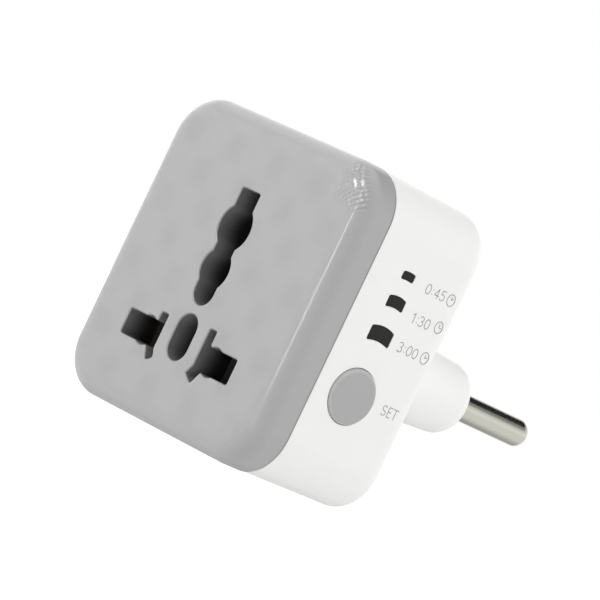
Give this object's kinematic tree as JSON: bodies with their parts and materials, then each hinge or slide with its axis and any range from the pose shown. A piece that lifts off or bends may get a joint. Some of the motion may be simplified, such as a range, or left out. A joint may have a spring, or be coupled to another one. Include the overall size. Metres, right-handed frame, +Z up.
{
  "type": "plug-in timer switch",
  "caption": "Square plug-in timer switch with a multi-standard socket face, round plug pins on a neck, side windows and a round set button.",
  "frame": {"origin": "middle of the plug's engagement face, midway between the two pins", "axes": "+Y out of the plug face, the way the pins point; +Z up across the socket face, towards the earth hole; +X towards the side with the windows and the button"},
  "size_m": [0.0541, 0.0689, 0.054],
  "materials": {
    "cover_grey": "polished moulding",
    "housing_white": "polished moulding",
    "button_grey": "polished moulding",
    "lens_smoke": "smoked clear plastic",
    "pin_nickel": "nickel-plated brass",
    "contact_brass": "spring brass strip",
    "insulator_ivory": "flame-resistant moulding",
    "carrier_black": "flame-resistant moulding",
    "lead_brown": "insulated wire",
    "lead_blue": "insulated wire",
    "board_green": "coated glass-fibre board",
    "relay_blue": "moulded case",
    "terminal_tin": "tinned strip",
    "film_yellow": "moulded case",
    "can_black": "sleeved aluminium can",
    "varistor_blue": "epoxy coating",
    "chip_black": "moulded package",
    "fuse_body": "lacquered case",
    "led_clear": "tinted epoxy",
    "switch_black": "moulded body",
    "screw_zinc": "zinc-plated steel"
  },
  "bodies": {
    "housing": {"front_cover": "cover_grey", "rear_housing": "housing_white", "window_lens": "lens_smoke", "live_pin": "pin_nickel", "neutral_pin": "pin_nickel", "live_contact": "contact_brass", "neutral_contact": "contact_brass", "plug_insert": "insulator_ivory", "light_baffle": "insulator_ivory", "contact_carrier": "carrier_black", "live_lead": "lead_brown", "neutral_lead": "lead_blue", "main_board": "board_green", "display_board": "board_green", "relay_case": "relay_blue", "relay_terminals": "terminal_tin", "film_capacitor": "film_yellow", "electrolytic_capacitor": "can_black", "varistor": "varistor_blue", "bridge_rectifier": "chip_black", "timer_chip": "chip_black", "driver_transistor": "chip_black", "zener_diode": "chip_black", "dropper_resistors": "chip_black", "thermal_fuse": "fuse_body", "led_0_45": "led_clear", "led_1_30": "led_clear", "led_3_00": "led_clear", "tact_switch": "switch_black", "housing_screws": "screw_zinc"},
    "set_button": {"set_button": "button_grey", "switch_plunger": "switch_black"}
  },
  "joints": [
    {"name": "set_button_press", "type": "slide", "parent": "housing", "child": "set_button", "axis": [-1, 0, 0], "range_m": [0, 0.0005], "stiffness_N_per_m": 4000}
  ]
}
